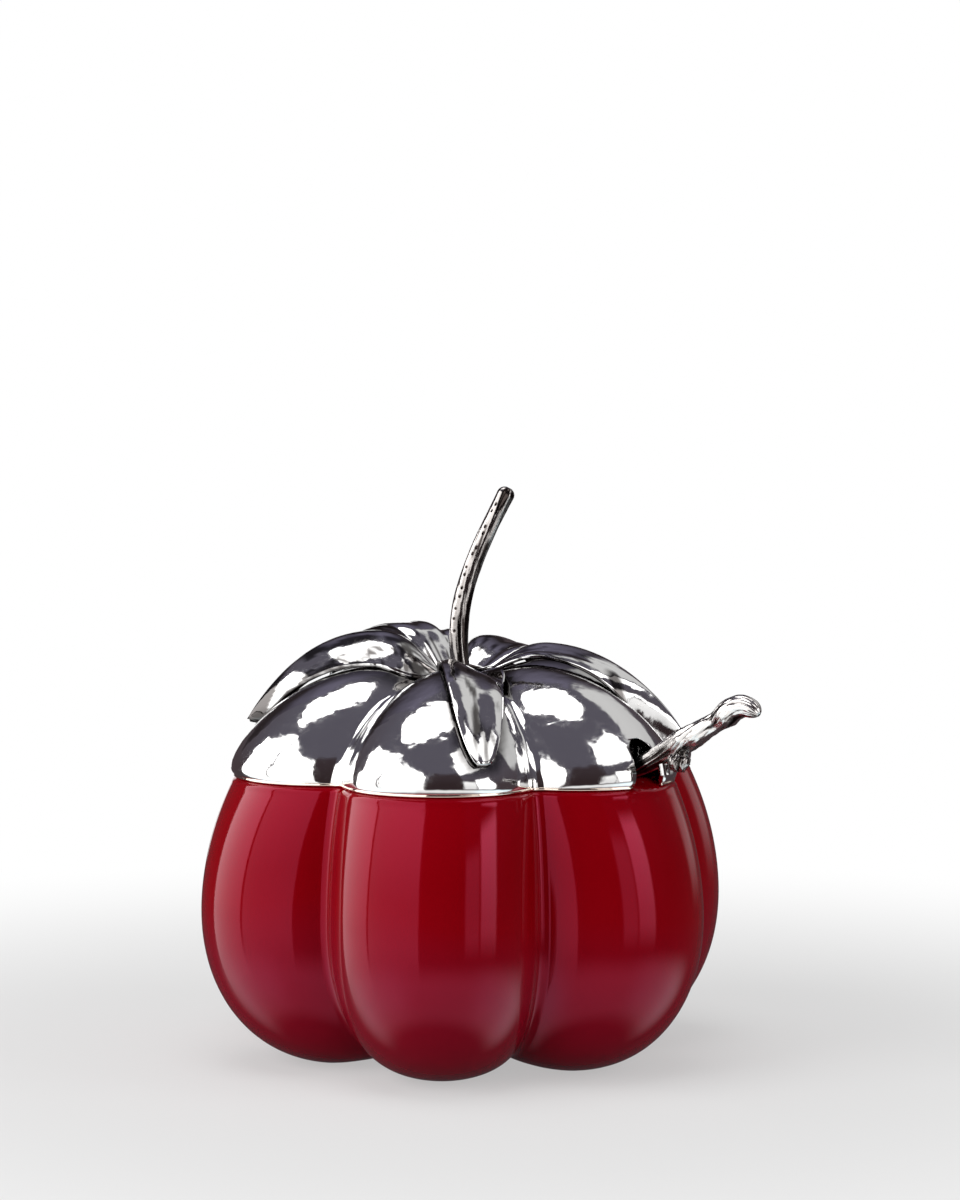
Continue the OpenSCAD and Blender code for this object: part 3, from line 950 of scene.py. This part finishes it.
class JAMPOT_OT_spoon(bpy.types.Operator):
    """Make the twig handle, its knot and peg, the shank and the bowl"""

    bl_idname = "jampot.spoon"
    bl_label = "Spoon"

    def execute(self, context):
        turn = Matrix.Rotation(math.radians(SPOON_TURN - 90), 4, "Z")
        path = [
            vectors((45.6, 65.35), (49, 66.9), (57, 70.2), (62, 73.6)),
            vectors((62, 73.6), (64.6, 75.2), (68.6, 77.1), (71, 78.55)),
            vectors((71, 78.55), (73.2, 79.8), (76.4, 84.1), (81.4, 80.5)),
        ]
        # The handle's radius, at places along it counted in curves
        radii = [(0, 1.5), (0.5, 2.15), (1, 2.75), (1.3, 2.6)]
        radii += [(1.9, 2.05), (2.3, 2.6), (2.55, 2.4), (3, 1.7)]
        knot_path = [vectors((58.8, 69.1), (60, 69), (62, 69.4), (63.6, 70.4))]

        def radius(s):
            t = len(path) * s
            end = math.sqrt(1 - 0.9 * max(0, (t - 2.86) / 0.14) ** 2)
            for (a, low), (b, high) in zip(radii, radii[1:]):
                if t <= b:
                    return (low + (high - low) * soft(t - a, b - a)) * end
            return radii[-1][1] * end

        def knot_radius(s):
            return 2.2 * math.sqrt(max(0.02, 1 - (2 * s - 1) ** 2))

        def lay(c, h, x, y):
            return turn @ Vector((c.x + x * h.y, y, c.y - x * h.x)) * MM

        def lay_knot(c, h, x, y):
            return lay(c, h, x, y - 1)

        handle = Twig(path, radius, lay, 320, depth=0.11, wander=1.6)
        knot = Twig(knot_path, knot_radius, lay_knot, 60, depth=0.16, wander=3)
        add_twig("handle_twig", handle, "spoon", "spoon_handle", "handle_silver")
        add_twig("handle_knot", knot, "spoon", None, "stem_silver")
        for node in ("spoon_peg", "spoon_shank", "spoon_bowl"):
            smooth_copy(node, "spoon")
        return {"FINISHED"}


# Stage

PHOTO = (960, 1200)
AIM_POINT = Vector((0, 0, 33.8 * MM))
AIM_PIXEL = (464.6, 900)
CAMERA_ELEVATION = 8.98
CAMERA_DISTANCE = 739.2 * MM
PIXELS_PER_MM = 4.486
FLOOR_R = 4
SKY_LIGHT = 0.45
CARD_MIDDLE = Vector((0, 0, 0.05))


def add_camera(scene):
    """A camera that keeps AIM_POINT on AIM_PIXEL of the photo's frame."""
    camera = bpy.data.cameras.new("camera")
    camera.sensor_width = 36
    focal = PIXELS_PER_MM / MM * CAMERA_DISTANCE
    down = math.atan((AIM_PIXEL[1] - PHOTO[1] / 2) / focal)
    left = math.atan((PHOTO[0] / 2 - AIM_PIXEL[0]) / focal)
    focal *= math.cos(down)
    camera.lens = camera.sensor_width * focal / PHOTO[1]
    camera.clip_start = 0.01
    eye = bpy.data.objects.new("camera", camera)
    e = math.radians(CAMERA_ELEVATION)
    eye.location = AIM_POINT + Vector((0, -math.cos(e), math.sin(e))) * CAMERA_DISTANCE
    eye.rotation_euler = (math.pi / 2 - e + down, 0, -left)
    scene.collection.objects.link(eye)
    scene.camera = eye


def floor_paper():
    """White paper that keeps a soft shadow near the pot and fades to plain white away from it."""
    shadow_r, plain_r = 0.09, 0.30
    least_glow = 0.45
    material, tree, place = new_material("floor_paper")
    reach = add_node(tree, "ShaderNodeVectorMath", {0: place}, operation="LENGTH").outputs["Value"]
    fade = between(tree, reach, shadow_r, plain_r, least_glow, 1.0, interpolation_type="SMOOTHSTEP")
    seen = add_node(tree, "ShaderNodeLightPath").outputs["Is Camera Ray"]
    share = calculate(tree, "MULTIPLY", fade, seen)
    paper = add_node(tree, "ShaderNodeBsdfDiffuse", {"Color": four(colours().floor)})
    glow = add_node(tree, "ShaderNodeEmission", {"Color": (1, 1, 1, 1), "Strength": 1.0})
    mix = add_node(tree, "ShaderNodeMixShader", {"Fac": share, 1: paper.outputs[0], 2: glow.outputs[0]})
    put_out(tree, mix)
    return material


def add_floor(scene):
    """The table. Shiny surfaces see the cards instead of it."""
    bm = bmesh.new()
    bmesh.ops.create_circle(bm, cap_ends=True, segments=64, radius=FLOOR_R)
    mesh = bpy.data.meshes.new("floor")
    bm.to_mesh(mesh)
    bm.free()
    mesh.materials.append(floor_paper())
    floor = bpy.data.objects.new("floor", mesh)
    floor.visible_glossy = False
    scene.collection.objects.link(floor)


def add_world(scene):
    """Plain white where it is seen, and dimmer as a light."""
    world = bpy.data.worlds.new("world")
    scene.world = world
    world.use_nodes = True
    tree = world.node_tree
    tree.nodes.clear()
    light = add_node(tree, "ShaderNodeLightPath").outputs
    seen = calculate(tree, "MAXIMUM", light["Is Camera Ray"], light["Is Glossy Ray"])
    seen = calculate(tree, "MAXIMUM", seen, light["Is Transmission Ray"])
    strength = between(tree, seen, 0, 1, SKY_LIGHT, 1.0)
    sky = add_node(tree, "ShaderNodeBackground", {"Color": (1, 1, 1, 1), "Strength": strength})
    add_node(tree, "ShaderNodeOutputWorld", {"Surface": sky.outputs[0]})


def add_lamp(name, place, wide, high, watts):
    """A soft lamp that lights the matt parts. The shiny parts see the cards instead."""
    lamp = bpy.data.lights.new(name, "AREA")
    lamp.shape = "RECTANGLE"
    lamp.size = wide
    lamp.size_y = high
    lamp.energy = watts
    made = bpy.data.objects.new(name, lamp)
    made.location = place
    made.rotation_euler = (CARD_MIDDLE - Vector(place)).to_track_quat("-Z", "Y").to_euler()
    made.visible_camera = False
    made.visible_glossy = False
    bpy.context.scene.collection.objects.link(made)


def glow_material(name, low, high, below, above, feathered=False):
    """A lit card. Its colour goes from low at height below to high at height above, in metres.

    A feathered card is clear where its attribute "cover" is 0.
    """
    material, tree, place = new_material(name)
    share = between(tree, height_of(tree, place), below, above)
    inputs = {"Factor": share, "A": four(low), "B": four(high)}
    mix = add_node(tree, "ShaderNodeMix", inputs, data_type="RGBA")
    shader = add_node(tree, "ShaderNodeEmission", {"Color": mix.outputs["Result"]})
    if feathered:
        clear = add_node(tree, "ShaderNodeBsdfTransparent")
        inputs = {"Fac": attribute(tree, "cover"), 1: clear.outputs[0], 2: shader.outputs[0]}
        shader = add_node(tree, "ShaderNodeMixShader", inputs)
    put_out(tree, shader)
    return material


def add_card(name, material, bm):
    """Makes a card of a bmesh that only shiny surfaces see."""
    mesh = bpy.data.meshes.new(name)
    bm.to_mesh(mesh)
    bm.free()
    mesh.materials.append(material)
    card = bpy.data.objects.new(name, mesh)
    bpy.context.scene.collection.objects.link(card)
    card.visible_camera = False
    card.visible_diffuse = False
    card.visible_shadow = False
    card.visible_transmission = False


def bent_card(bearings, heights, radius, fade=(0, 0, 0), taper=0):
    """A card bent round the set, from and to a bearing and a height angle in degrees.

    taper is how much lower the top edge is at the second bearing. fade is the degrees over which
    the sides, the foot and the top fade out.
    """
    steps = 36
    width = bearings[1] - bearings[0]

    def place(i, j):
        u, v = i / steps, j / steps
        a = math.radians(bearings[0] + width * u)
        e = math.radians(heights[0] + (heights[1] - taper * u - heights[0]) * v)
        way = Vector((math.sin(a) * math.cos(e), -math.cos(a) * math.cos(e), math.sin(e)))
        return CARD_MIDDLE + way * radius

    bm = woven_grid(steps, steps, place)
    layer = bm.verts.layers.float.new("cover")
    for v in bm.verts:
        d = (v.co - CARD_MIDDLE).normalized()
        a = math.degrees(math.atan2(d.x, -d.y))
        a += 360 if a < bearings[0] - 0.5 else 0
        e = math.degrees(math.asin(d.z))
        top = heights[1] - taper * (a - bearings[0]) / width
        sides = soft(a - bearings[0], fade[0]) * soft(bearings[1] - a, fade[0])
        v[layer] = sides * soft(e - heights[0], fade[1]) * soft(top - e, fade[2])
    return bm


def overhead_card():
    """A flat card with rounded corners above the pot, a little to the left and the back."""
    steps = 8
    middle_x, middle_y, height = -0.155, 0.145, 0.85
    half_x, half_y = 0.32, 0.22
    roundness = 0.6

    def place(i, j):
        x, y = i / steps - 1, j / steps - 1
        far = max(abs(x), abs(y), 1e-9) / max(math.hypot(x, y), 1e-9)
        x, y = x * far**roundness, y * far**roundness
        return Vector((middle_x + half_x * x, middle_y + half_y * y, height))

    return woven_grid(2 * steps, 2 * steps, place)


def grey(value):
    """A neutral brightness as a colour."""
    return (value, value, value)


class Card(NamedTuple):
    """A lit card that the glaze and the silver mirror.

    Its colour goes from low to high over the two heights, in metres. bearings are its sides and
    angles its foot and top, in degrees from the middle of the set. radius is in metres, and fade and
    taper are as in bent_card.
    """

    low: tuple
    high: tuple
    heights: tuple
    bearings: tuple
    angles: tuple
    radius: float
    fade: tuple
    taper: float = 0


CARDS = {
    "card_left_far": Card(grey(2.0), grey(3.8), (0, 0.17), (-109, -70.5), (-42, 42), 0.31, (0, 30, 2), -14),
    "card_left_near": Card(grey(1.4), grey(2.8), (0.07, 0.23), (-68, -17), (-42, 53), 0.3, (0, 32, 3), 14),
    "card_right_dim": Card(grey(1.0), grey(1.2), (0.05, 0.15), (25, 42), (-20, 24), 0.36, (3, 12, 8)),
    "card_right": Card(grey(2.0), grey(4.2), (0.03, 0.2), (41, 60), (-20, 29), 0.34, (2, 16, 6)),
    "card_right_high": Card(grey(1.6), grey(2.0), (-0.5, 0.05), (28, 96), (42, 66), 0.82, (0, 2, 2)),
    "card_right_back": Card(grey(0.6), grey(0.72), (0.3, 0.6), (100, 162), (22, 56), 0.8, (6, 4, 4)),
    "card_right_rim": Card(grey(0.4), grey(0.6), (-0.5, 0.05), (118, 146), (-8, 18), 0.8, (8, 12, 8)),
    "card_back_left": Card(grey(1.0), grey(1.2), (-0.5, 0.05), (-178, -158), (-6, 12), 0.8, (0, 0, 0)),
    "card_back": Card(
        linear("#2c2628"), linear("#767286"), (0.45, 0.86), (162, 222), (12, 60), 0.9, (4, 4, 6)
    ),
    "card_front_low": Card(
        linear("#362b2d"), linear("#40363a"), (0.2, 0.7), (-17, 30), (-28, 46), 0.88, (3, 4, 6)
    ),
    "card_floor": Card(grey(0.8), grey(1.2), (-0.7, -0.3), (-128, 128), (-66, -18), 0.86, (34, 16, 16)),
    "card_floor_left": Card(
        (1.3, 1.5, 1.6), (1.5, 1.8, 1.9), (-0.6, -0.3), (-125, -20), (-60, -8), 0.84, (34, 22, 24)
    ),
    "card_floor_right": Card(
        (1.2, 1.4, 1.5), (1.2, 1.5, 1.6), (-0.6, -0.3), (30, 128), (-60, -16), 0.84, (34, 20, 18)
    ),
}


def add_cards():
    """The dim tent round the set, the cards in it and the one overhead."""
    dim = glow_material("card_grey", linear("#4a4043"), linear("#5f5c67"), 0.2, 0.95)
    add_card("tent", dim, bent_card((-180, 180), (-90, 90), 1.2))
    for name, card in CARDS.items():
        glow = glow_material(name, card.low, card.high, *card.heights, feathered=True)
        add_card(name, glow, bent_card(card.bearings, card.angles, card.radius, card.fade, card.taper))
    add_card("card_top", glow_material("card_top", grey(3.0), grey(3.0), 0, 1), overhead_card())


class JAMPOT_OT_stage(bpy.types.Operator):
    """Make the floor, the cards, the lamps and the camera"""

    bl_idname = "jampot.stage"
    bl_label = "Stage"

    def execute(self, context):
        scene = context.scene
        add_camera(scene)
        add_floor(scene)
        add_world(scene)
        add_cards()
        add_lamp("lamp_left", (-0.9, -0.55, 0.55), 0.8, 1.0, 9)
        add_lamp("lamp_right", (1.0, -0.35, 0.45), 0.4, 0.9, 3)
        add_lamp("lamp_top", (-0.15, -0.15, 1.2), 0.9, 0.6, 5)
        scene.view_settings.view_transform = "Standard"
        return {"FINISHED"}


class JAMPOT_PT_panel(bpy.types.Panel):
    """Lists the makers of the pieces"""

    bl_idname = "JAMPOT_PT_panel"
    bl_label = "Jam pot"
    bl_space_type = "VIEW_3D"
    bl_region_type = "UI"
    bl_category = "Jam pot"

    def draw(self, context):
        for operator in OPERATORS:
            self.layout.operator(operator.bl_idname)


OPERATORS = (
    JAMPOT_OT_pot,
    JAMPOT_OT_lid,
    JAMPOT_OT_leaves,
    JAMPOT_OT_stem,
    JAMPOT_OT_spoon,
    JAMPOT_OT_stage,
)
CLASSES = (JamPotSizes, JamPotColours, JamPotSettings, *OPERATORS, JAMPOT_PT_panel)


def register():
    """Adds the classes and the scene's settings."""
    for kind in CLASSES:
        bpy.utils.register_class(kind)
    bpy.types.Scene.jam_pot = PointerProperty(type=JamPotSettings)


def unregister():
    """Takes them away again."""
    del bpy.types.Scene.jam_pot
    for kind in reversed(CLASSES):
        bpy.utils.unregister_class(kind)


def main():
    """Makes the whole scene."""
    register()
    bpy.ops.jampot.pot()
    bpy.ops.jampot.lid()
    bpy.ops.jampot.leaves()
    bpy.ops.jampot.stem()
    bpy.ops.jampot.spoon()
    bpy.ops.jampot.stage()


if __name__ == "__main__":
    main()
